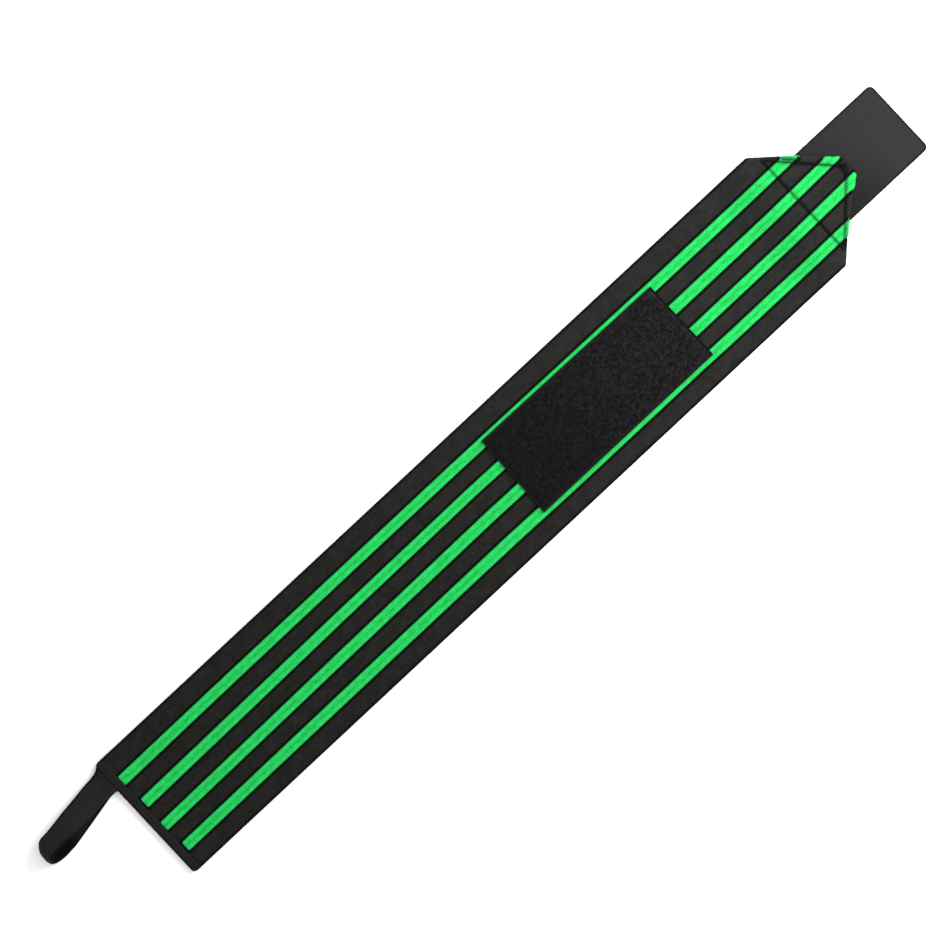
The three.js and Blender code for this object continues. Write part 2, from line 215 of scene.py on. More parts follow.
# The painted shade round the thread knot at the tip's point: its middle, and its reach along and across
TACK_AT = (520.0, -1.0)
TACK_REACH = (3.2, 3.6)
THREAD_SINK = 0.25
STRIPE_SINK = 0.45
TIP_THREAD = 0.28
KNOT_THREAD = 0.26
THIN_THREAD = 0.2
THREAD_POINTS = 7
KNOT_HALF = 0.7
KNOT_ROWS = 4
PATCH_INSET = 0.75
BINDING_SEAM = 3.9
BINDING_SEAM_HALF = 38.5

# The floor, the light and the camera, in metres and watts
FLOOR_REACH = 6.0
FLOOR_LEVEL = -0.00015
SKY_STRENGTH = 1.07
LAMP_SIZE = 0.65
LAMP_POWER = 12.9
LAMP_PLACE = (0.75, -0.1, 0.5)
LAMP_AIM = (-0.55, 0.1, -0.5)
FRAME_WIDTH = 0.5171
FRAME_LEVEL = 0.002
CAMERA_X = 0.0056
CAMERA_Y = 0.01436
CAMERA_TURN = -43.0
# The lens's length and its sensor's width, in the camera's own millimetres
LENS_LENGTH = 200.0
SENSOR_WIDTH = 36.0

# The black of the painted shade in a groove, at a seam or on an edge
PAINTED_SHADE_BLACK = "#020202"


def ease(x):
    """A smooth step: 0 below 0, 1 above 1, and 3x^2 - 2x^3 between."""
    t = np.clip(x, 0.0, 1.0)
    return t * t * (3.0 - 2.0 * t)


def quarter_round(inward, radius):
    """How far a rounded edge lies back at some distance in from it: a quarter circle."""
    short = radius - np.clip(inward, 0, radius)
    return radius - np.sqrt(radius ** 2 - short ** 2)


def crowded(count):
    """Places from -1 to 1 that come closer together towards both, by a sine."""
    return np.sin(np.linspace(-np.pi / 2, np.pi / 2, count))


def uneven(x, y, grain, seed):
    """Smooth random heights from 0 to 1: one number for each cell of grain by grain, eased into the next."""
    cells = np.random.default_rng(seed).random((97, 97))
    column, row = np.floor(x / grain), np.floor(y / grain)
    right, up = ease(x / grain - column), ease(y / grain - row)
    i, j = column.astype(int) % 97, row.astype(int) % 97
    k, m = (i + 1) % 97, (j + 1) % 97
    low = cells[i, j] * (1 - right) + cells[k, j] * right
    high = cells[i, m] * (1 - right) + cells[k, m] * right
    return low * (1 - up) + high * up


def band_lift(station):
    """Height of the webbing's underside: raised at the binding, flat, then raised over the tab at the tip."""
    at_binding = 1.0 - ease((station - BINDING_REACH) / END_RAMP)
    at_tip = ease((station - TIP_RAMP_END + TIP_RAMP) / TIP_RAMP)
    return END_LIFT * at_binding + TIP_LIFT * at_tip


def ripple(station, across):
    """The webbing's slight unevenness: a sine along it times a slanting cosine, none at its two ends."""
    lengthwise = np.sin(station / RIPPLE_ALONG + 1.3)
    wave = 0.5 + 0.5 * lengthwise * np.cos(across / RIPPLE_ACROSS + station / RIPPLE_SLANT)
    free = ease((station - RIPPLE_START) / RIPPLE_FADE) * (1.0 - ease((station - RIPPLE_END) / RIPPLE_FADE))
    return RIPPLE * wave * free


def lay(station, across, height):
    """Where a point of the flat webbing lies, with height counted up from its underside.

    The weave drifts aside along the band, and one stripe or another a little more, as a bell. Past each
    slanting fold line of the tip, the point goes round a half circle with its axis under the line and comes
    back below, upside down. The upper fold line bows out and the lower one in, each by a half sine, which
    the upper one gives up from the share BOW_ENDS of its length.
    """
    drift = np.interp(station / BAND_LENGTH, DRIFT_AT, DRIFT_ASIDE)
    aside = across + STRIPE_PITCH * drift * np.maximum(0.0, 1.0 - np.abs(across) / HALF_WIDTH)
    for at, beside, lengthwise, sideways, shift in WANDERS:
        away = ((station - at) / lengthwise) ** 2 + ((across - beside) / sideways) ** 2
        aside = aside + shift * np.exp(-away)
    x, y = station + 0.0 * aside, aside + 0.0 * station
    z = height + band_lift(station) + ripple(station, across)
    outer = THICKNESS + PLY_GAP / 2
    middle = THICKNESS / 2 + PLY_GAP / 2
    axis = TIP_LIFT - PLY_GAP / 2
    reach = height + PLY_GAP / 2
    for side in (1.0, -1.0):
        along = np.array([BAND_LENGTH - SHOULDER, TIP_SHIFT + side * (TIP_WIDTH / 2 - HALF_WIDTH)])
        length = np.hypot(*along)
        along /= length
        outward = np.array([-along[1], along[0]]) * side
        ahead, edge = station - SHOULDER, aside - side * HALF_WIDTH
        share = np.clip((ahead * along[0] + edge * along[1]) / length, 0.0, 1.0)
        straight = ease((share - BOW_ENDS) / BOW_FADE) * (side > 0)
        bow = FOLD_BOW * np.sin(np.pi * share) * (1 - straight)
        beyond = ahead * outward[0] + edge * outward[1] - side * bow
        turn = np.clip((beyond + outer) / middle, 0.0, np.pi)
        past = np.maximum(0.0, beyond + outer - np.pi * middle)
        folded = -outer + reach * np.sin(turn) - past
        turned = beyond > -outer
        x = np.where(turned, x + (folded - beyond) * outward[0], x)
        y = np.where(turned, y + (folded - beyond) * outward[1], y)
        z = np.where(turned, axis + reach * np.cos(turn), z)
    return np.stack([x - STATION_AT_ORIGIN, y, z], axis=-1)


def past_fold(station, across):
    """How far a place of the flat webbing lies beyond its fold line, negative on the top ply."""
    side = np.where(across > TIP_SHIFT, 1.0, -1.0)
    run = BAND_LENGTH - SHOULDER
    fall = HALF_WIDTH - TIP_WIDTH / 2 - side * TIP_SHIFT
    out = (station - SHOULDER) * fall + (side * across - HALF_WIDTH) * run
    return out / np.hypot(run, fall)


def end_corner(across):
    """How far the rounded corner of the bound end draws its edge back at a place across."""
    return quarter_round(HALF_WIDTH - np.abs(across), END_CORNER)


def stripe_across(number):
    """Middle line of a stripe, counted from 0 at the loop's side."""
    return STRIPE_SHIFT + STRIPE_PITCH * ((STRIPE_COUNT - 1) / 2 - number)


def seam_pull(station, across, seams_near):
    """From 0 to 1, how near a place is to any of some seams: a bell of the distance."""
    nearest = np.full(np.broadcast(station, across).shape, FAR)
    for start, end in seams_near:
        begin, run = np.array(start), np.array(end) - np.array(start)
        share = ((station - begin[0]) * run[0] + (across - begin[1]) * run[1]) / (run @ run)
        share = np.clip(share, 0.0, 1.0)
        away = np.hypot(station - begin[0] - share * run[0], across - begin[1] - share * run[1])
        nearest = np.minimum(nearest, away)
    return np.exp(-((nearest / SEAM_REACH) ** 2))


# Meshes

def put(name, data):
    """An object that holds some data, put into the scene."""
    placed = bpy.data.objects.new(name, data)
    bpy.context.scene.collection.objects.link(placed)
    return placed


def make_piece(name, points, faces, material, uv=None, **marks):
    """A mesh object from whole arrays: points in millimetres, faces as arrays of corners, marks per point."""
    corners = np.concatenate([part.ravel() for part in faces])
    counts = np.concatenate([np.full(len(part), part.shape[1]) for part in faces])
    mesh = bpy.data.meshes.new(name)
    mesh.vertices.add(len(points))
    mesh.vertices.foreach_set("co", (points * MM).ravel())
    mesh.loops.add(len(corners))
    mesh.loops.foreach_set("vertex_index", corners.astype(np.int32))
    mesh.polygons.add(len(counts))
    mesh.polygons.foreach_set("loop_start", (np.cumsum(counts) - counts).astype(np.int32))
    mesh.update(calc_edges=True)
    if uv is not None:
        mesh.uv_layers.new(name="UVMap").data.foreach_set("uv", (uv * MM)[corners].ravel())
    for mark, values in marks.items():
        mesh.attributes.new(mark, "FLOAT", "POINT").data.foreach_set("value", np.ravel(values))
    mesh.shade_smooth()
    mesh.set_sharp_from_angle(angle=np.radians(SHARP_ANGLE))
    mesh.materials.append(material)
    piece = put(name, mesh)
    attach(piece, "root")
    return piece


def grid_faces(ids):
    """Four-cornered faces between the rows and columns of a grid of point numbers."""
    return np.stack([ids[:-1, :-1], ids[1:, :-1], ids[1:, 1:], ids[:-1, 1:]], axis=-1).reshape(-1, 4)


def strip_faces(low, high):
    """Faces between two rows of point numbers, low to high, where the low row may have fewer points."""
    match = np.rint(np.linspace(0, len(low) - 1, len(high))).astype(int)
    ahead, behind = low[match[1:]], low[match[:-1]]
    four = ahead != behind
    quads = np.stack([behind, ahead, high[1:], high[:-1]], axis=-1)[four]
    threes = np.stack([behind, high[1:], high[:-1]], axis=-1)[~four]
    return quads, threes


def slab(name, top, under, material, top_uv, under_uv, **marks):
    """A closed piece between two grids, top and under, with walls along its sides and ends.

    Each mark is a pair: its values on the top grid, and on the under one.
    """
    top_ids = np.arange(top.shape[0] * top.shape[1]).reshape(top.shape[:2])
    low_ids = top_ids.size + np.arange(under.shape[0] * under.shape[1]).reshape(under.shape[:2])
    end_quads, end_threes = strip_faces(low_ids[-1], top_ids[-1])
    start_quads, start_threes = strip_faces(low_ids[0], top_ids[0])
    left = np.stack([low_ids[:-1, 0], low_ids[1:, 0], top_ids[1:, 0], top_ids[:-1, 0]], axis=-1)
    right = np.stack([low_ids[:-1, -1], top_ids[:-1, -1], top_ids[1:, -1], low_ids[1:, -1]], axis=-1)
    faces = [grid_faces(top_ids), grid_faces(low_ids)[:, ::-1], left, right,
             end_quads, end_threes, start_quads[:, ::-1], start_threes[:, ::-1]]
    points = np.concatenate([top.reshape(-1, 3), under.reshape(-1, 3)])
    uv = np.concatenate([top_uv.reshape(-1, 2), under_uv.reshape(-1, 2)])
    marks = {mark: np.concatenate([np.ravel(upper), np.ravel(lower) + np.zeros(low_ids.size)])
             for mark, (upper, lower) in marks.items()}
    return make_piece(name, points, [part for part in faces if len(part)], material, uv, **marks)


def tubes(name, paths, sideways, radius, sides, material, **marks):
    """Many closed strands at once: a ring of points round each point of each path, and a cap at each end.

    paths is (strands, points, 3). sideways is a unit vector for each strand, square to the plane it bends in.
    """
    strands, length = paths.shape[:2]
    ahead = np.gradient(paths, axis=1)
    ahead /= np.linalg.norm(ahead, axis=-1, keepdims=True)
    flat = np.broadcast_to(sideways[:, None, :], paths.shape)
    upward = np.cross(flat, ahead)
    angle = np.linspace(0, 2 * np.pi, sides, endpoint=False)
    ring = (np.cos(angle)[:, None] * flat[:, :, None, :] + np.sin(angle)[:, None] * upward[:, :, None, :])
    size = np.broadcast_to(radius, (strands, length))[:, :, None, None]
    points = paths[:, :, None, :] + ring * size
    ids = np.arange(strands * length * sides).reshape(strands, length, sides)
    around = np.roll(ids, -1, axis=2)
    walls = np.stack([ids[:, :-1], ids[:, 1:], around[:, 1:], around[:, :-1]], axis=-1).reshape(-1, 4)
    faces = [walls, ids[:, 0], ids[:, -1, ::-1]]
    marks = {mark: np.repeat(np.ravel(values), length * sides) for mark, values in marks.items()}
    return make_piece(name, points.reshape(-1, 3), faces, material, **marks)


def stitch_row(start, end, pitch, stitch):
    """Places of a straight row of stitches: for each stitch its begin and its end, as shares of the way."""
    run = np.array(end, float) - np.array(start, float)
    count = max(1, int(round(np.hypot(*run) / pitch)))
    begin = (np.arange(count) + 0.5 - stitch / 2) / count
    finish = (np.arange(count) + 0.5 + stitch / 2) / count
    return np.array(start) + begin[:, None] * run, np.array(start) + finish[:, None] * run


def sewing(name, rows, surface, radius, material, pitch=3.1, stitch=0.86):
    """Rows of thread stitches, each an arch from hole to hole that dips below the cloth at both ends.

    Its height goes with the fourth power of the way from its middle, and surface lays it on the cloth.
    """
    begins, finishes = zip(*[stitch_row(start, end, pitch, stitch) for start, end in rows])
    begin, finish = np.concatenate(begins), np.concatenate(finishes)
    share = np.linspace(0, 1, THREAD_POINTS)[None, :, None]
    place = begin[:, None, :] * (1 - share) + finish[:, None, :] * share
    arch = radius * (0.75 - 2.1 * (2 * share[..., 0] - 1) ** 4) + 0 * place[..., 0]
    paths = surface(place[..., 0], place[..., 1], arch)
    heading = finish - begin
    heading /= np.linalg.norm(heading, axis=-1, keepdims=True)
    sideways = np.stack([-heading[:, 1], heading[:, 0], np.zeros(len(heading))], axis=-1)
    return tubes(name, paths, sideways, radius, THREAD_POINTS, material)


# Materials

def colour(text):
    """A linear colour from an sRGB hex value."""
    values = np.array([int(text[i:i + 2], 16) for i in (1, 3, 5)]) / 255
    linear = np.where(values <= 0.04045, values / 12.92, ((values + 0.055) / 1.055) ** 2.4)
    return (*(float(value) for value in linear), 1.0)


def add(tree, kind, sockets=None, **settings):
    """Add a node with its settings; a socket takes a value, or a link from another node's output."""
    node = tree.nodes.new(kind)
    for name, value in settings.items():
        setattr(node, name, value)
    for name, value in (sockets or {}).items():
        if isinstance(value, bpy.types.NodeSocket):
            tree.links.new(value, node.inputs[name])
        else:
            node.inputs[name].default_value = value
    return node


def new_material(name):
    """An empty material: its tree, its shader joined to the output, and its object's own coordinates."""
    made = bpy.data.materials.new(name)
    made.use_nodes = True
    tree = made.node_tree
    tree.nodes.clear()
    shader = add(tree, "ShaderNodeBsdfPrincipled")
    add(tree, "ShaderNodeOutputMaterial", {"Surface": shader.outputs[0]})
    return made, tree, shader, add(tree, "ShaderNodeTexCoord").outputs["Object"]


def set_surface(tree, shader, base, bump, roughness, gloss, sheen=0.0):
    """Join a colour and a bump to a material's shader, and set its roughness, gloss and sheen."""
    tree.links.new(base.outputs["Result"], shader.inputs["Base Color"])
    if bump is not None:
        tree.links.new(bump.outputs[0], shader.inputs["Normal"])
    shader.inputs["Roughness"].default_value = roughness
    shader.inputs["Specular IOR Level"].default_value = gloss
    shader.inputs["Sheen Weight"].default_value = sheen


def bands(pitch):
    """Scale of a wave texture whose bands repeat every pitch millimetres, on coordinates in metres."""
    return np.pi / 10 / (pitch * MM)


def spots(size):
    """Scale of a noise texture whose spots are about size millimetres, on coordinates in metres."""
    return 1 / (size * MM)


def webbing_material():
    """Woven polyester and rubber elastic, dyed black: matt, with ribs along it and finer picks across.

    The ribs are 1.6 mm apart and the picks 1.1 mm, both a little coarser than the real yarn, so they show.
    """
    made, tree, shader, place = new_material("elastic webbing, black polyester")
    flat = add(tree, "ShaderNodeUVMap", uv_map="UVMap").outputs[0]
    ribs = add(tree, "ShaderNodeTexWave", {"Vector": flat, "Scale": bands(RIB_PITCH), "Distortion": 0.6,
               "Detail Scale": 2.0}, bands_direction="Y")
    picks = add(tree, "ShaderNodeTexWave", {"Vector": flat, "Scale": bands(PICK_PITCH), "Distortion": 1.2,
                "Detail Scale": 2.0}, bands_direction="X")
    fuzz = add(tree, "ShaderNodeTexNoise", {"Vector": place, "Scale": spots(1.4), "Detail": 3.0})
    cloudy = add(tree, "ShaderNodeTexNoise", {"Vector": place, "Scale": spots(4.5), "Detail": 2.0})
    sunk = add(tree, "ShaderNodeAttribute", attribute_name="sunk").outputs["Fac"]
    weave = add(tree, "ShaderNodeMath", {0: ribs.outputs["Fac"], 1: picks.outputs["Fac"], 2: 0.0},
                operation="MULTIPLY_ADD")
    height = add(tree, "ShaderNodeMath", {0: fuzz.outputs["Fac"], 1: 0.7, 2: weave.outputs[0]},
                 operation="MULTIPLY_ADD")
    patchy = add(tree, "ShaderNodeMath", {0: cloudy.outputs["Fac"], 1: 1.1, 2: -0.6},
                 operation="MULTIPLY_ADD")
    # Painted light: a mark that rises towards the tip lightens the black there
    worn = add(tree, "ShaderNodeAttribute", attribute_name="worn").outputs["Fac"]
    patches_and_painted_light = add(tree, "ShaderNodeMath", {0: worn, 1: 0.35, 2: patchy.outputs[0]}, operation="MULTIPLY_ADD")
    uneven_dye_and_painted_light = add(tree, "ShaderNodeMath", {0: fuzz.outputs["Fac"], 1: patches_and_painted_light.outputs[0]}, operation="ADD")
    yarn = add(tree, "ShaderNodeMix", {"Factor": uneven_dye_and_painted_light.outputs[0], "A": colour("#0c0c0b"),
               "B": colour("#1e1f1d")}, data_type="RGBA", clamp_factor=False)
    # Painted shade: grooves, seams and edges go to a near black
    shaded = add(tree, "ShaderNodeMix", {"Factor": sunk, "A": yarn.outputs["Result"],
                 "B": colour(PAINTED_SHADE_BLACK)}, data_type="RGBA")
    bump = add(tree, "ShaderNodeBump", {"Height": height.outputs[0], "Distance": 0.12 * MM, "Strength": 0.8})
    set_surface(tree, shader, shaded, bump, roughness=0.8, gloss=0.06, sheen=0.02)
    return made


def stripe_material():
    """Bright green texturised polyester, knitted in: a soft shine, and a painted highlight on the two ribs.
    """
    made, tree, shader, place = new_material("stripe yarn, green polyester")
    drawn = add(tree, "ShaderNodeMapping", {"Vector": place, "Scale": (0.45, 1.0, 1.0)})
    fleck = add(tree, "ShaderNodeTexNoise", {"Vector": drawn.outputs[0], "Scale": spots(1.4), "Detail": 3.0,
                "Roughness": 0.6})
    crest = add(tree, "ShaderNodeAttribute", attribute_name="crest").outputs["Fac"]
    sunk = add(tree, "ShaderNodeAttribute", attribute_name="sunk").outputs["Fac"]
    patchy = add(tree, "ShaderNodeMath", {0: fleck.outputs["Fac"], 1: 1.4, 2: -0.8},
                 operation="MULTIPLY_ADD")
    shine = add(tree, "ShaderNodeMath", {0: crest, 1: 0.95, 2: patchy.outputs[0]}, operation="MULTIPLY_ADD",
                use_clamp=True)
    # Painted highlight: the ribs' crests are a lighter green than the dip between them
    yarn = add(tree, "ShaderNodeMix", {"Factor": shine.outputs[0], "A": colour("#0c8931"),
               "B": colour("#21be5c")}, data_type="RGBA")
    # Painted shade at seams and along the stripe's sides goes to a deep green
    shaded = add(tree, "ShaderNodeMix", {"Factor": sunk, "A": yarn.outputs["Result"],
                 "B": colour("#043417")}, data_type="RGBA")
    bump = add(tree, "ShaderNodeBump", {"Height": fleck.outputs["Fac"], "Distance": 0.1 * MM,
               "Strength": 0.6})
    set_surface(tree, shader, shaded, bump, roughness=0.65, gloss=0.1, sheen=0.02)
    return made


def tape_material(name, dark, light, along, across, relief, roughness, gloss):
    """A woven narrow tape: rounded ribs across and along it at their own pitch, and a slight fleck.

    along and across are the pitches of its bands in millimetres, relief the depth of the weave.
    """
    made, tree, shader, place = new_material(name)
    flat = add(tree, "ShaderNodeUVMap", uv_map="UVMap").outputs[0]
    rows = add(tree, "ShaderNodeTexWave", {"Vector": flat, "Scale": bands(along), "Distortion": 0.4},
               bands_direction="X")
    lanes = add(tree, "ShaderNodeTexWave", {"Vector": flat, "Scale": bands(across), "Distortion": 0.4},
                bands_direction="Y")
    fleck = add(tree, "ShaderNodeTexNoise", {"Vector": place, "Scale": spots(1.5), "Detail": 3.0})
    weave = add(tree, "ShaderNodeMath", {0: rows.outputs["Fac"], 1: lanes.outputs["Fac"], 2: 0.0},
                operation="MULTIPLY_ADD")
    height = add(tree, "ShaderNodeMath", {0: fleck.outputs["Fac"], 1: 0.5, 2: weave.outputs[0]},
                 operation="MULTIPLY_ADD")
    yarn = add(tree, "ShaderNodeMix", {"Factor": fleck.outputs["Fac"], "A": colour(dark), "B": colour(light)},
               data_type="RGBA")
    # Painted shade: edges, the binding's front, the loop's fold, the tab by the tip and the patch's end go
    # darker
    sunk = add(tree, "ShaderNodeAttribute", attribute_name="sunk").outputs["Fac"]
    shaded = add(tree, "ShaderNodeMix", {"Factor": sunk, "A": yarn.outputs["Result"],
                 "B": colour(PAINTED_SHADE_BLACK)}, data_type="RGBA")
    bump = add(tree, "ShaderNodeBump", {"Height": height.outputs[0], "Distance": relief * MM,
               "Strength": 0.8})
    set_surface(tree, shader, shaded, bump, roughness, gloss, sheen=0.02)
    return made


def pile_material():
    """Brushed nylon loop pile: black and matt, with a painted highlight on its tufts, stronger towards the
    tip.
    """
    made, tree, shader, place = new_material("brushed loop pile, black nylon")
    tuft = add(tree, "ShaderNodeTexNoise", {"Vector": place, "Scale": spots(1.7), "Detail": 4.0,
               "Roughness": 0.8})
    # Painted highlight on the raised tufts, which with the mottle grows towards the tip as painted light
    raised = add(tree, "ShaderNodeAttribute", attribute_name="raised").outputs["Fac"]
    patchy = add(tree, "ShaderNodeMath", {0: tuft.outputs["Fac"], 1: 3.9, 2: -1.94},
                 operation="MULTIPLY_ADD")
    brushed = add(tree, "ShaderNodeAttribute", attribute_name="brushed").outputs["Fac"]
    mottled = add(tree, "ShaderNodeMath", {0: patchy.outputs[0], 1: brushed}, operation="MULTIPLY")
    spread = add(tree, "ShaderNodeMath", {0: raised, 1: 0.6, 2: mottled.outputs[0]}, operation="MULTIPLY_ADD",
                 use_clamp=True)
    fibre = add(tree, "ShaderNodeMix", {"Factor": spread.outputs[0], "A": colour("#050505"),
                "B": colour("#1f1f1f")}, data_type="RGBA")
    bump = add(tree, "ShaderNodeBump", {"Height": tuft.outputs["Fac"], "Distance": 0.2 * MM,
               "Strength": 0.6})
    set_surface(tree, shader, fibre, bump, roughness=0.85, gloss=0.08, sheen=0.03)
    return made


def plain_material(name, text, roughness, gloss, grain):
    """A yarn or moulded fibre too thin for a weave: one colour with a fine fleck of it lighter."""
    made, tree, shader, place = new_material(name)
    fleck = add(tree, "ShaderNodeTexNoise", {"Vector": place, "Scale": spots(grain), "Detail": 2.0})
    base = colour(text)
    light = tuple(min(1.0, value * 1.35) for value in base[:3]) + (1.0,)
    yarn = add(tree, "ShaderNodeMix", {"Factor": fleck.outputs["Fac"], "A": base, "B": light},
               data_type="RGBA")
    set_surface(tree, shader, yarn, None, roughness, gloss)
    return made


# Pieces

def webbing(material):
    """The elastic band: one slab over its whole flat length, grooved for the stripes and folded at the tip.

    Its rows are stations and its columns places across, both closer together where the shape is finer. Its
    selvages are half rounds, a groove's side is a smooth step, a seam draws the face down as a bell, and the
    end is cut back where the thumb loop's root sits. The face has painted shade in the grooves, at seams, on
    its edges and round the thread knot, and painted light that lightens it towards the tip.
    """
    rows = np.concatenate([np.linspace(BAND_START, ROWS_BOUND, 8)[:-1],
                           np.linspace(ROWS_BOUND, ROWS_FOLDING, 132)[:-1],
                           np.linspace(ROWS_FOLDING, BAND_LENGTH, 92)])
    edge = HALF_WIDTH - np.array([0, 0.08, 0.25, 0.5, 0.9, 1.4, 2.1])
    beside = STRIPE_WIDTH / 2 + np.array([-0.3, 0.0, 0.1, 0.35, 0.65, 1.1, GROOVE_WIDTH, GROOVE_WIDTH + 0.3])
    shoulders = [stripe_across(number) + side * beside for number in range(STRIPE_COUNT) for side in (1, -1)]
    slot_half = LOOP_WIDTH / 2 + SLOT_SPARE
    slot = LOOP_ROOT_ACROSS + np.array([-slot_half, 0.02 - slot_half, slot_half - 0.02, slot_half])
    columns = np.concatenate([edge, -edge, *shoulders, slot, np.arange(-38.4, 38.5, COLUMN_SPACING)])
    columns = np.unique(np.round(columns, 3))
    station, across = np.meshgrid(rows, columns, indexing="ij")
    in_slot = np.abs(across - LOOP_ROOT_ACROSS) < slot_half - 0.01
    drawn_back = np.where(in_slot, LOOP_ROOT_LENGTH + SLOT_GAP - BAND_START, end_corner(across))
    station = station + drawn_back * (1 - ease((station - BAND_START) / DRAWN_LENGTH))
    inward = np.minimum((HALF_WIDTH - np.abs(across)) / SELVAGE_ROUND, 1.0)
    half = THICKNESS / 2 * (0.15 + 0.85 * np.sqrt(1 - (1 - inward) ** 2))
    beyond = np.full(station.shape, FAR)
    for number in range(STRIPE_COUNT):
        beyond = np.minimum(beyond, np.abs(across - stripe_across(number)) - STRIPE_WIDTH / 2)
    begun = ease((station - STRIPE_START + 1.0) / 0.9)
    sunk = (1 - ease((beyond - GROOVE_FLOOR) / (GROOVE_WIDTH - GROOVE_FLOOR))) * begun
    line = (1 - ease((beyond - LINE_WIDTH) / LINE_FADE)) * begun
    pull = seam_pull(station, across, TIP_SEAMS)
    drawn_down = STRIPE_DEPTH * sunk + SEAM_DEPTH * pull * (sunk < 0.5)
    top = lay(station, across, THICKNESS / 2 + half - drawn_down)
    under = lay(station, across, THICKNESS / 2 - half)
    flat = np.stack([station, across], axis=-1)
    rim = 1 - ease((HALF_WIDTH - np.abs(across) - EDGE_LINE) / EDGE_FADE)
    from_tack = ((station - TACK_AT[0]) / TACK_REACH[0]) ** 2 + ((across - TACK_AT[1]) / TACK_REACH[1]) ** 2
    # Painted shade in the grooves beside the stripes, at seams, along the outer edges and round the thread
    # knot
    dark = np.clip(line + pull + rim + 0.8 * np.exp(-from_tack), 0, 1)
    # Painted light, rising towards the tip's end
    worn = PAINTED_LIGHT_AT_TIP * ease(station / BAND_LENGTH)
    piece = slab("webbing", top, under, material, flat, flat, sunk=(dark, 0.0), worn=(worn, PAINTED_LIGHT_UNDER))
    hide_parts("band")
    return piece


def stripe(number, material):
    """One green stripe: two ribs with a shallow dip between, knitted in wales of slanting stitches.

    Across it the height is a smooth step at each side, less a squared cosine in the middle. Each stitch is a
    cosine along its wale, later towards the wale's sides. The stripe follows the webbing round the fold at
    the tip, where it is pressed flat against the tab.
    """
    start = STRIPE_START + START_SHIFT[number]
    onward = np.arange(start + 0.5, STRIPE_END, ROW_SPACING)
    rows = np.concatenate([start + np.array([0, 0.08, 0.25]), onward])
    half = STRIPE_WIDTH / 2
    columns = np.concatenate([[-half], np.linspace(-half + 0.12, half - 0.12, 23), [half]])
    narrowed = 1 - quarter_round(rows - start, STRIPE_CORNER) / half
    station, aside = np.meshgrid(rows, columns, indexing="ij")
    aside = aside * narrowed[:, None]
    across = stripe_across(number) + aside
    shoulder = ease((half - np.abs(aside)) / STRIPE_SHOULDER) ** 0.6
    dip = DIP_DEPTH * np.cos(np.clip(np.abs(aside) / DIP_HALF, 0, 1) * np.pi / 2) ** 2
    wale = aside / (STRIPE_WIDTH / WALE_COUNT) + WALE_COUNT / 2
    inside = np.abs(2 * (wale - np.floor(wale)) - 1)
    slant = station / STITCH_LENGTH + 0.5 * inside + 0.15 * np.sin(station / 13.0)
    knit = (0.65 + 0.35 * np.cos(2 * np.pi * slant)) * (1 - inside ** 3)
    crest = shoulder * (1 - dip)
    pressed = 1 - ease((past_fold(station, across) + 1.5) / 3.0)
    pull = seam_pull(station, across, TIP_SEAMS)
    ends = ease((station - start) / 0.8) * ease((STRIPE_END - station) / 0.8)
    rise = STRIPE_RISE * crest * (0.15 + 0.85 * pressed) * (0.3 + 0.7 * ends)
    relief = KNIT_DEPTH * (knit - 1) * shoulder * (0.3 + 0.7 * pressed)
    top = lay(station, across, THICKNESS + rise + relief - 0.12 * pull * crest)
    base = np.array([-half, half])
    low_station, low_aside = np.meshgrid(rows, base, indexing="ij")
    low_across = stripe_across(number) + low_aside * narrowed[:, None]
    under = lay(low_station, low_across, THICKNESS - STRIPE_DEPTH + SET_GAP + 0.0 * low_station)
    # Painted highlight on the ribs' crests and on each stitch
    light = np.clip(crest * (0.55 + 0.45 * knit), 0, 1)
    flank = 1 - ease((half - np.abs(aside)) / FLANK_WIDTH)
    upper_pull = seam_pull(station, across, (UPPER_SEAM, UPPER_SECOND))
    # Painted shade at seams and along the stripe's sides
    dark = np.clip(0.85 * pull + 0.15 * upper_pull + 0.45 * flank, 0, 1)
    piece = slab(f"stripe_yarn_{number + 1}", top, under, material, np.stack([station, across], axis=-1),
                 np.stack([low_station, low_across], axis=-1), crest=(light, 0.0), sunk=(dark, 0.0))
    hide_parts(f"stripe_{number + 1}")
    return piece


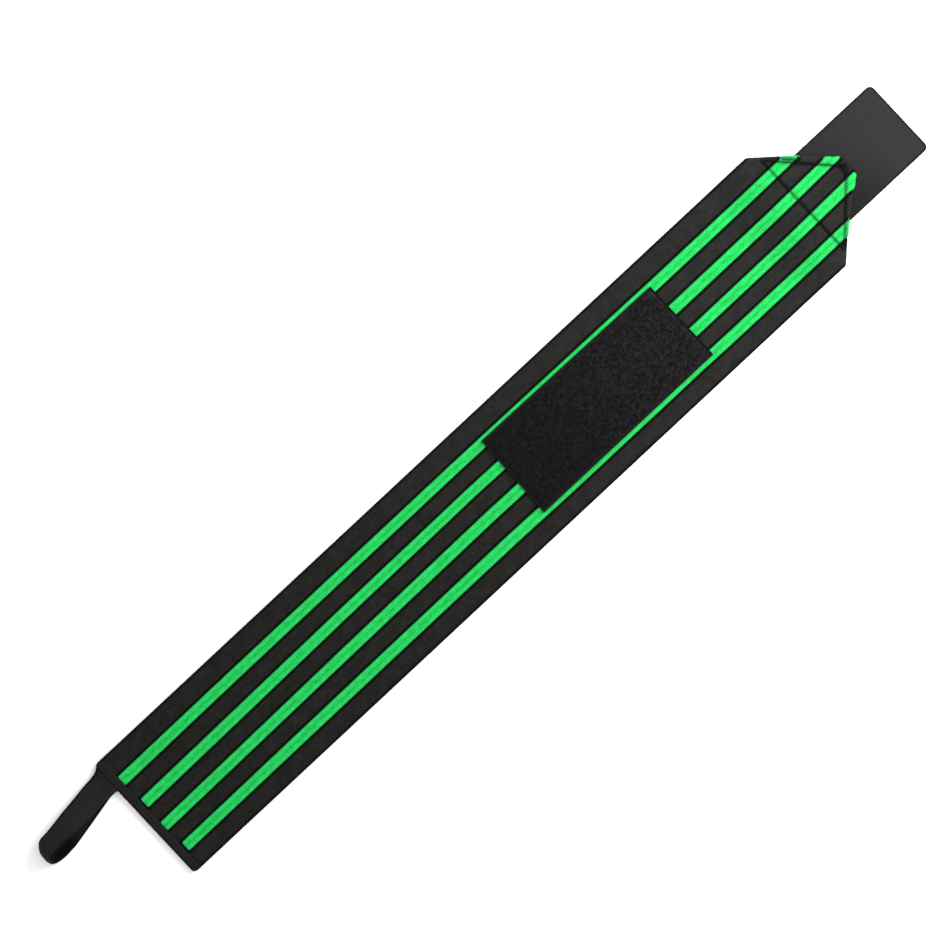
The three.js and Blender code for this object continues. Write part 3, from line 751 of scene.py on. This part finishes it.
def binding(material):
    """The end binding: a ribbed tape folded round the webbing's end, as a channel section carried along Y.

    The outline goes along the upper lip, round a half circle and back along the lower lip. Ribs stand every
    1.3 mm along it, each a raised cosine. Its front has painted shade, less over the thumb loop's root, and
    so have its two ends.
    """
    rows = np.linspace(-HALF_WIDTH, HALF_WIDTH, 360)
    outer, inner = BINDING_HEIGHT / 2, BINDING_HEIGHT / 2 - BINDING_WALL
    lip = np.linspace(BINDING_REACH, outer, 9)[:-1]
    level = np.ones(len(lip))
    turn = np.linspace(np.pi / 2, 3 * np.pi / 2, 13)
    x_out = np.concatenate([lip, outer + outer * np.cos(turn), lip[::-1]])
    z_out = np.concatenate([2 * outer * level, outer + outer * np.sin(turn), 0 * level])
    x_in = np.concatenate([lip, outer + inner * np.cos(turn), lip[::-1]])
    z_in = np.concatenate([(outer + inner) * level, outer + inner * np.sin(turn), (outer - inner) * level])
    edge = ease((BINDING_REACH - x_out) / 1.2)
    across = np.repeat(rows[:, None], len(x_out), axis=1)
    corner = end_corner(across)
    rib = 0.5 + 0.5 * np.cos(2 * np.pi * across / BINDING_RIBS)
    fade = ease((HALF_WIDTH - np.abs(across)) / 1.0)
    depth = 0.06 * (1 - rib) + 0.35 * (1 - fade) + 0.3 * (1 - edge)[None, :]
    inward = np.stack([x_in - x_out, z_in - z_out], axis=-1) / BINDING_WALL
    x_top = x_out[None, :] + depth * inward[None, :, 0] + corner * (1 - x_out / BINDING_REACH)[None, :]
    x_low = x_in[None, :] + corner * (1 - x_in / BINDING_REACH)[None, :]
    top = np.stack([x_top - STATION_AT_ORIGIN, across, z_out[None, :] + depth * inward[None, :, 1]], axis=-1)
    under = np.stack([x_low - STATION_AT_ORIGIN, across, z_in + 0 * across], axis=-1)
    length = np.cumsum(np.hypot(np.diff(x_out, prepend=x_out[0]), np.diff(z_out, prepend=z_out[0])))
    flat = np.stack([across, length[None, :] + 0 * across], axis=-1)
    off_root = across - LOOP_ROOT_ACROSS
    over_loop = ease((off_root + 8.5) / 2.0) * ease((8.0 - off_root) / 2.0)
    # Painted shade on the front, where the tape turns down, and on the two ends
    front = (1 - ease(x_out / 2.0)[None, :]) * (1 - 0.8 * over_loop)
    rim = np.maximum(front, 1 - ease((HALF_WIDTH - np.abs(across)) / 2.0))
    piece = slab("binding_tape", top, under, material, flat, flat, sunk=(0.85 * rim, 0.0))
    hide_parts("end_binding")
    return piece


def loop_middle(run, side):
    """Middle surface of the thumb loop's tape: run from 0 at the upper root to 1 at the under root.

    Each leg goes from the binding to the fold, which is a half circle as high as the loop is open. side is
    -1 on the open edge and 1 on the closed one. The legs swing aside as they go out, by a table of shares.
    The fold's two corners are drawn in by a square, and the tape flares aside where it leaves the binding.
    """
    leg = (1 - LOOP_FOLD) / 2
    bow = BOW_OPEN + (BOW_CLOSED - BOW_OPEN) * (side + 1) / 2
    fold_x = LOOP_THICKNESS / 2 + bow / 2 - LOOP_REACH + LOOP_CORNER * np.clip(side, 0, 1) ** 2
    fold_x = fold_x + OPEN_CORNER * np.clip(-2 * side - 1, 0, 1) ** 2
    turn = np.pi * np.clip((run - leg) / LOOP_FOLD, 0, 1)
    leg_run = np.clip(np.minimum(run, 1 - run) / leg, 0, 1)
    inside = LOOP_ROOT_LENGTH + (-SET_GAP - LOOP_ROOT_LENGTH) * leg_run / LOOP_ROOTED
    outside = -SET_GAP + (fold_x + SET_GAP) * (leg_run - LOOP_ROOTED) / (1 - LOOP_ROOTED)
    x = np.where(leg_run < LOOP_ROOTED, inside, outside) - bow / 2 * np.sin(turn)
    out = np.clip((-x - SET_GAP) / (LOOP_REACH - SET_GAP), 0, 1)
    upper, lower = np.interp(out, LOOP_OUT, LOOP_UPPER), np.interp(out, LOOP_OUT, LOOP_UNDER)
    bowed = np.interp(out, LOOP_OUT, LOOP_BOWED)
    upper_root = END_LIFT + (THICKNESS + PLY_GAP) / 2 + (THICKNESS - PLY_GAP) / 4
    under_root = END_LIFT + (THICKNESS - PLY_GAP) / 4
    rise = (LOOP_THICKNESS / 2 + bow - upper_root) * bowed
    tilt = (BOW_OPEN - BOW_CLOSED) * bowed
    plan = np.sqrt(LOOP_WIDTH ** 2 - tilt ** 2)
    upper_across = LOOP_ROOT_ACROSS + LOOP_WIDTH / 2 - UPPER_SWING * upper - (1 - side) / 2 * plan
    drop = (under_root - LOOP_THICKNESS / 2) * ease(out * LOOP_REACH / LOOP_DROP)
    under_across = LOOP_ROOT_ACROSS - UNDER_SWING * lower + side * LOOP_WIDTH / 2
    blend = (1 - np.cos(turn)) / 2
    flare = np.exp(-((np.minimum(-x, 0) / 2.0) ** 2)) * np.exp(-np.maximum(-x, 0) / FLARE_LENGTH)
    flare = flare * np.where(side > 0, FLARE_CLOSED * side, FLARE_OPEN * side)
    across = upper_across * (1 - blend) + under_across * blend + flare
    height = (upper_root + rise) * (1 - blend) + (under_root - drop) * blend
    return np.stack([x, across, height], axis=-1), out


def thumb_loop(material):
    """The thumb loop: an elastic tape folded in half, its thickness laid off square to its middle surface.

    Its edges are half rounds and its wales low arches. It has painted shade along its edges, apart from the
    root of its upper leg's open edge, painted shade inside the fold and a patch of it by the binding.
    """
    leg = (1 - LOOP_FOLD) / 2
    legs = np.linspace(0, leg, 64)
    fold = leg + LOOP_FOLD * np.linspace(0, 1, 44)
    rows = np.concatenate([legs[:-1], fold[:-1], 1 - leg + legs])
    columns = crowded(31)
    run, side = np.meshgrid(rows, columns, indexing="ij")
    middle, out = loop_middle(run, side)
    square = np.cross(np.gradient(middle, axis=0), np.gradient(middle, axis=1))
    square /= np.linalg.norm(square, axis=-1, keepdims=True)
    pressed = (THICKNESS - PLY_GAP) / 2
    thick = pressed + (LOOP_THICKNESS - pressed) * ease(out * LOOP_REACH / LOOP_PRESS)
    inward = np.minimum((1 - np.abs(side)) * LOOP_WIDTH / 2 / LOOP_ROUND, 1)
    half = thick / 2 * (0.2 + 0.8 * np.sqrt(1 - (1 - inward) ** 2))
    wales = 0.07 * np.abs(np.sin(np.pi * side * LOOP_WIDTH / 2 / LOOP_WALES))
    middle[..., 0] -= STATION_AT_ORIGIN
    top = middle + square * (half - wales * (inward >= 1))[..., None]
    under = middle - square * (half - wales * (inward >= 1))[..., None]
    top[..., 2] = np.maximum(top[..., 2], 0)
    under[..., 2] = np.maximum(under[..., 2], 0)
    flat = np.stack([run * 2 * (LOOP_REACH + LOOP_ROOT_LENGTH), side * LOOP_WIDTH / 2], axis=-1)
    # Painted shade along the edges, inside the fold, and by the binding where a wrinkle would shade it
    rim = 1 - ease(((1 - np.abs(side)) * LOOP_WIDTH / 2 - 0.4) / 1.3)
    rim = rim * np.where((side < 0) & (run < 0.5), ease((out - 0.5) / 0.3), 1)
    inside = np.maximum(0.9 * ease((out - 0.55) / 0.17), rim)
    painted_shade_by_binding = 0.45 * np.exp(-(((out * LOOP_REACH - 2.5) / 1.5) ** 2)) * (0.5 + 0.5 * side)
    piece = slab("loop_tape", top, under, material, flat, flat, sunk=(inside, np.maximum(rim, painted_shade_by_binding)))
    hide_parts("thumb_loop")
    return piece


def rounded_columns(station, start, end, half, corner, columns):
    """Places across a strip with rounded corners: the half width less the corner's arc near both ends."""
    width = half - quarter_round(np.minimum(station - start, end - station), corner)
    return width[:, None] * columns[None, :]


def strip_rows(start, end, corner, spacing):
    """Stations along a strip, close together at its rounded ends."""
    arc = corner * (1 - np.cos(np.linspace(0, np.pi / 2, 7)))
    middle = np.linspace(start + corner, end - corner, int((end - start) / spacing))
    return np.concatenate([start + arc[:-1], middle, end - arc[:-1][::-1]])


def tab_tape(material):
    """The hook tab's tape: a flat woven strip with rounded edges and a faint wave, painted shade on edges and
    by the tip.
    """
    rows = strip_rows(TAB_START, TAB_END, TAB_CORNER, 1.6)
    columns = crowded(45)
    aside = rounded_columns(rows, TAB_START, TAB_END, TAB_HALF, TAB_CORNER, columns)
    station = rows[:, None] + 0 * aside
    rim = np.minimum(np.minimum(station - TAB_START, TAB_END - station), TAB_HALF - np.abs(aside))
    rim = np.minimum(rim, (1 - np.abs(columns))[None, :] * TAB_HALF)
    soft = quarter_round(rim / 0.6, 1)
    wave = TAB_WAVE * uneven(station, aside + CELL_SHIFT, TAB_WAVE_SIZE, TAB_WAVE_SEED)
    top = np.stack([station - STATION_AT_ORIGIN, aside + TAB_SHIFT,
                    HOOK_HEIGHT + TAB_TAPE - 0.35 * soft - wave], axis=-1)
    under = np.stack([station - STATION_AT_ORIGIN, aside + TAB_SHIFT, HOOK_HEIGHT + 0.2 * soft], axis=-1)
    flat = np.stack([station, aside], axis=-1)
    # Painted shade by the tip, deeper on the tab's lower side, where the raised tip would shade the tab
    painted_shade_near_tip = 1 - ease((station - BAND_LENGTH + 10.0) / TAB_SHADE_LENGTH)
    painted_shade_near_tip = (TAB_SHADE + TAB_SHADE_SIDE * ease(-aside / 18.0)) * painted_shade_near_tip
    shade = np.maximum(1 - ease((rim - 0.4) / 1.1), painted_shade_near_tip)
    piece = slab("tab_tape", top, under, material, flat, flat, sunk=(shade, 0.0))
    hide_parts("hook_tab")
    return piece


def tab_hooks(material):
    """The hooks under the tab: rows of small bent stems, each a strand that comes down and curls aside."""
    x = np.arange(TAB_START + TAB_SELVAGE + 0.8, TAB_END - TAB_SELVAGE, HOOK_SPACING[0])
    y = np.arange(-TAB_HALF + TAB_SELVAGE + 0.6, TAB_HALF - TAB_SELVAGE, HOOK_SPACING[1])
    grid_x, grid_y = np.meshgrid(x, y, indexing="ij")
    lane = np.arange(len(y)) % 2
    base_x = (grid_x + 0.5 * lane[None, :]).ravel() - STATION_AT_ORIGIN
    base_y = grid_y.ravel() + TAB_SHIFT
    way = np.tile(1.0 - 2.0 * lane, len(x))
    out = np.array([0.0, 0.0, 0.06, 0.24, 0.42, 0.46])
    drop = np.array([HOOK_HEIGHT + 0.1, 0.42, 0.22, 0.11, 0.16, 0.3])
    paths = np.stack([base_x[:, None] + way[:, None] * out, base_y[:, None] + 0 * out,
                      0 * base_x[:, None] + drop], axis=-1)
    sideways = np.tile([0.0, 1.0, 0.0], (len(base_x), 1))
    piece = tubes("tab_hooks", paths, sideways, HOOK_RADIUS, 4, material)
    return piece


def patch_place(station, aside, height):
    """A place on the pile patch: it lies along the webbing, its ends pressed down between the stripes.

    Its first end is cut aslant, its sides come slightly together and it is turned a little.
    """
    end = np.minimum(station - PATCH_START, PATCH_END - station)
    on_stripe = np.zeros(np.broadcast(station, aside).shape)
    for number in range(STRIPE_COUNT):
        away = np.abs(aside + PATCH_SHIFT - stripe_across(number))
        on_stripe = np.maximum(on_stripe, 1 - ease((away - STRIPE_WIDTH / 2) / 2.5))
    press = PATCH_PRESS * (1 - ease(end / PATCH_PRESS_LENGTH)) * (1 - on_stripe)
    z = PATCH_LEVEL + height + ripple(station, aside + PATCH_SHIFT) - press
    slant = -(0.6 + 0.8 * aside / PATCH_HALF) * (1 - ease((station - PATCH_START) / PATCH_SLANT_LENGTH))
    x = station - slant - STATION_AT_ORIGIN
    lean = (PATCH_TURN + PATCH_TAPER * aside) * ((PATCH_START + PATCH_END) / 2 - station)
    return np.stack([x + 0 * aside, aside + PATCH_SHIFT + lean, z], axis=-1)


def patch_tape(material):
    """The patch's woven backing: a flat strip that stands out round the pile, with a painted shadow on its
    end by the tip.
    """
    rows = strip_rows(PATCH_START, PATCH_END, PATCH_CORNER, 1.8)
    columns = crowded(57)
    aside = rounded_columns(rows, PATCH_START, PATCH_END, PATCH_HALF, PATCH_CORNER, columns)
    station = rows[:, None] + 0 * aside
    end = np.minimum(station - PATCH_START, PATCH_END - station)
    rim = np.minimum(end, (1 - np.abs(columns))[None, :] * PATCH_HALF)
    soft = quarter_round(rim / 0.5, 1)
    top = patch_place(station, aside, PATCH_TAPE - 0.3 * soft)
    under = patch_place(station, aside, 0.15 * soft)
    flat = np.stack([station, aside], axis=-1)
    # A painted shadow line on the patch's end by the tip
    painted_end_shadow = 0.95 * (1 - ease((PATCH_END - station - 0.7) / 1.1))
    piece = slab("patch_tape", top, under, material, flat, flat, sunk=(painted_end_shadow, 0.0))
    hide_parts("loop_patch")
    return piece


def brushed_up_and_painted_light(station):
    """How far the pile is brushed up, and with it how strong its painted light and mottle are: less than half
    at the loop's end of the patch, wholly at the tip's.
    """
    onward = ease((station - PATCH_START - BRUSHED_AND_PAINTED_LIGHT_START) / BRUSHED_AND_PAINTED_LIGHT_LENGTH)
    return BRUSHED_AND_PAINTED_LIGHT_LEAST + (1 - BRUSHED_AND_PAINTED_LIGHT_LEAST) * onward


def patch_bed(material):
    """The matted foot of the pile: a bed on the tape, raised in soft random tufts of 1 to 3 mm."""
    start, end = PATCH_START + PATCH_SELVAGE, PATCH_END - BED_SHORT
    half = PATCH_HALF - PATCH_SELVAGE
    rows = np.linspace(start, end, 250)
    station, aside = np.meshgrid(rows, np.linspace(-half, half, 104), indexing="ij")
    rim = np.minimum(np.minimum(station - start, end - station), half - np.abs(aside))
    coarse = uneven(station, aside + CELL_SHIFT, TUFT_SIZES[0], TUFT_SEEDS[0])
    fine = uneven(station, aside + CELL_SHIFT, TUFT_SIZES[1], TUFT_SEEDS[1])
    tuft = 0.55 * coarse + 0.45 * fine
    brushed = brushed_up_and_painted_light(station)
    height = (0.4 + (0.35 + 0.35 * brushed) * tuft) * (0.15 + 0.85 * ease(rim / 1.2))
    top = patch_place(station, aside, PATCH_TAPE + height)
    low_station, low_aside = np.meshgrid(rows, np.linspace(-half, half, 35), indexing="ij")
    under = patch_place(low_station, low_aside, PATCH_TAPE - 0.05)
    # Painted highlight on the higher tufts, strengthened towards the tip as painted light
    piece = slab("patch_bed", top, under, material, np.stack([station, aside], axis=-1),
                 np.stack([low_station, low_aside], axis=-1), raised=(tuft * brushed, 0.0),
                 brushed=(brushed, 0.0))
    return piece


def patch_loops(material):
    """The standing loops of the pile: small arches in a jittered grid, each leaning its own way."""
    draw = np.random.default_rng(PILE_SEED)
    start, end = PATCH_START + PATCH_SELVAGE + 0.6, PATCH_END - PILE_SHORT
    half = PATCH_HALF - PATCH_SELVAGE - 0.6
    rows, columns = np.arange(start, end, PILE_SPACING[0]), np.arange(-half, half, PILE_SPACING[1])
    station, aside = np.meshgrid(rows, columns, indexing="ij")
    station = station.ravel() + draw.uniform(-PILE_JITTER, PILE_JITTER, station.size)
    aside = aside.ravel() + draw.uniform(-PILE_JITTER, PILE_JITTER, aside.size)
    heading = draw.uniform(0, np.pi, station.size)
    tuft = uneven(station, aside + CELL_SHIFT, TUFT_SIZES[0], TUFT_SEEDS[0])
    brushed = brushed_up_and_painted_light(station)
    tall = 0.55 + 0.5 * tuft + draw.uniform(0, 0.2, station.size)
    wide = draw.uniform(0.35, 0.7, station.size)
    angle = np.linspace(-0.15 * np.pi, 1.15 * np.pi, 8)
    aside = np.clip(aside, -half, half)
    station = np.clip(station, start, end)
    run = wide[:, None] * np.cos(angle)
    up = 0.2 + tall[:, None] * (0.45 + 0.55 * np.sin(angle))
    lean = draw.uniform(-0.5, 0.5, station.size)[:, None] * up
    x = station[:, None] + run * np.cos(heading)[:, None] - lean * np.sin(heading)[:, None]
    y = aside[:, None] + run * np.sin(heading)[:, None] + lean * np.cos(heading)[:, None]
    paths = patch_place(x, y, PATCH_TAPE + np.minimum(up, PILE_HEIGHT - 0.12))
    sideways = np.stack([-np.sin(heading), np.cos(heading), 0 * heading], axis=-1)
    # Painted highlight on the loops, strengthened towards the tip as painted light
    piece = tubes("patch_loops", paths, sideways, PILE_RADIUS, 4, material,
                  raised=(0.35 + 0.65 * tuft) * brushed, brushed=brushed)
    return piece


def on_webbing(station, across, height):
    """A place near the webbing's face, as it lies, deeper where the thread sinks into a stripe."""
    sink = np.full(np.shape(across), THREAD_SINK)
    for number in range(STRIPE_COUNT):
        away = np.abs(across - stripe_across(number)) - STRIPE_WIDTH / 2
        sink = np.maximum(sink, THREAD_SINK + STRIPE_SINK * (1 - ease((away + 0.2) / 0.8)))
    return lay(station, across, THICKNESS + height - sink)


def on_patch(station, aside, height):
    """A place a little above the face of the patch's tape."""
    return patch_place(station, aside, PATCH_TAPE + height)


def on_binding(station, across, height):
    """A place a little above the upper lip of the end binding."""
    return np.stack([station - STATION_AT_ORIGIN, across, BINDING_HEIGHT - 0.08 + height], axis=-1)


def seams(material, faint):
    """The thread: rows over the tip with a dense knot at its point, round the patch, and on the binding."""
    tip = sewing("tip_thread", TIP_SEAMS[:4], on_webbing, TIP_THREAD, material)
    knot_rows = [((KNOT[0][0] + step, KNOT[0][1]), (KNOT[1][0] + step, KNOT[1][1]))
                 for step in np.linspace(-KNOT_HALF, KNOT_HALF, KNOT_ROWS)]
    knot = sewing("tip_knot", knot_rows, lambda s, a, h: lay(s, a, THICKNESS + h), KNOT_THREAD, material,
                  pitch=1.3, stitch=1.1)
    left, right = PATCH_START + PATCH_INSET, PATCH_END - PATCH_INSET + 0.2
    half = PATCH_HALF - PATCH_INSET
    border = [((left, half), (right, half)), ((right, half), (right, -half)),
              ((right, -half), (left, -half)), ((left, -half), (left, half))]
    patch = sewing("patch_thread", border, on_patch, THIN_THREAD, material, pitch=2.6)
    along_lip = ((BINDING_SEAM, -BINDING_SEAM_HALF), (BINDING_SEAM, BINDING_SEAM_HALF))
    edge = sewing("binding_thread", [along_lip], on_binding, THIN_THREAD, faint, pitch=2.8)
    return tip, knot, patch, edge


def floor():
    """A plain pale floor, well wider than the wrap."""
    made, tree, shader, place = new_material("matt white card")
    grain = add(tree, "ShaderNodeTexNoise", {"Vector": place, "Scale": spots(60.0), "Detail": 2.0})
    card = add(tree, "ShaderNodeMix", {"Factor": grain.outputs["Fac"], "A": colour("#f4f4f4"),
               "B": colour("#f8f8f8")}, data_type="RGBA")
    set_surface(tree, shader, card, None, roughness=0.9, gloss=0.1)
    corners = [(across * FLOOR_REACH, along * FLOOR_REACH, FLOOR_LEVEL)
               for across, along in ((-1, -1), (1, -1), (1, 1), (-1, 1))]
    mesh = bpy.data.meshes.new("floor")
    mesh.from_pydata(corners, [], [(0, 1, 2, 3)])
    mesh.materials.append(made)
    piece = put("floor", mesh)
    return piece


def studio():
    """A white dome and a large soft lamp beyond the tab, which brightens the wrap towards that end."""
    world = bpy.data.worlds.new("studio")
    world.use_nodes = True
    sky = world.node_tree.nodes["Background"]
    sky.inputs["Color"].default_value = (1.0, 1.0, 1.0, 1.0)
    sky.inputs["Strength"].default_value = SKY_STRENGTH
    bpy.context.scene.world = world
    lamp = bpy.data.lights.new("softbox", "AREA")
    lamp.shape = "RECTANGLE"
    lamp.size, lamp.size_y = LAMP_SIZE, LAMP_SIZE
    lamp.energy = LAMP_POWER
    holder = put("softbox", lamp)
    holder.location = LAMP_PLACE
    holder.rotation_mode = "QUATERNION"
    holder.rotation_quaternion = Vector(LAMP_AIM).to_track_quat("-Z", "Y")
    holder.visible_camera = False


def camera():
    """Straight above with a long lens, turned so that the wrap runs up to the right."""
    lens = bpy.data.cameras.new("camera")
    lens.sensor_width = SENSOR_WIDTH
    lens.lens = LENS_LENGTH
    lens.clip_end = 20.0
    holder = put("camera", lens)
    height = FRAME_WIDTH * LENS_LENGTH / SENSOR_WIDTH + FRAME_LEVEL
    holder.location = (CAMERA_X, CAMERA_Y, height)
    holder.rotation_euler = (0.0, 0.0, np.radians(CAMERA_TURN))
    bpy.context.scene.camera = holder


def build():
    """Make the wrap's materials and pieces."""
    black_thread = plain_material("sewing thread, black polyester", "#050505", 0.7, 0.08, 0.6)
    worn_thread = plain_material("sewing thread of the binding, black polyester", "#101110", 0.7, 0.1, 0.6)
    hook_nylon = plain_material("moulded hooks, charcoal nylon", "#262627", 0.45, 0.5, 0.8)
    grosgrain = tape_material("ribbed binding, black polyester", "#0e0f0e", "#1f201f", along=BINDING_RIBS,
                              across=0.9, relief=0.05, roughness=0.8, gloss=0.06)
    knit = tape_material("knitted elastic tape, black", "#0f0f10", "#1f1f20", along=1.2,
                         across=LOOP_WALES, relief=0.08, roughness=0.8, gloss=0.06)
    charcoal = tape_material("hook tape back, charcoal nylon", "#181818", "#262626", along=0.9,
                             across=0.9, relief=0.04, roughness=0.7, gloss=0.09)
    selvage = tape_material("patch selvage, black nylon", "#0f0d0f", "#1d191c", along=1.0,
                            across=0.8, relief=0.06, roughness=0.75, gloss=0.08)
    pile = pile_material()
    green = stripe_material()
    web = webbing(webbing_material())
    stripes = [stripe(number, green) for number in range(STRIPE_COUNT)]
    edge = binding(grosgrain)
    loop = thumb_loop(knit)
    tab = tab_tape(charcoal)
    hooks = tab_hooks(hook_nylon)
    patch = patch_tape(selvage)
    bed, loops = patch_bed(pile), patch_loops(pile)
    tip, knot, patch_thread, edge_thread = seams(black_thread, worn_thread)
    ground = floor()


build()
studio()
camera()
bpy.context.scene.view_settings.view_transform = "Standard"
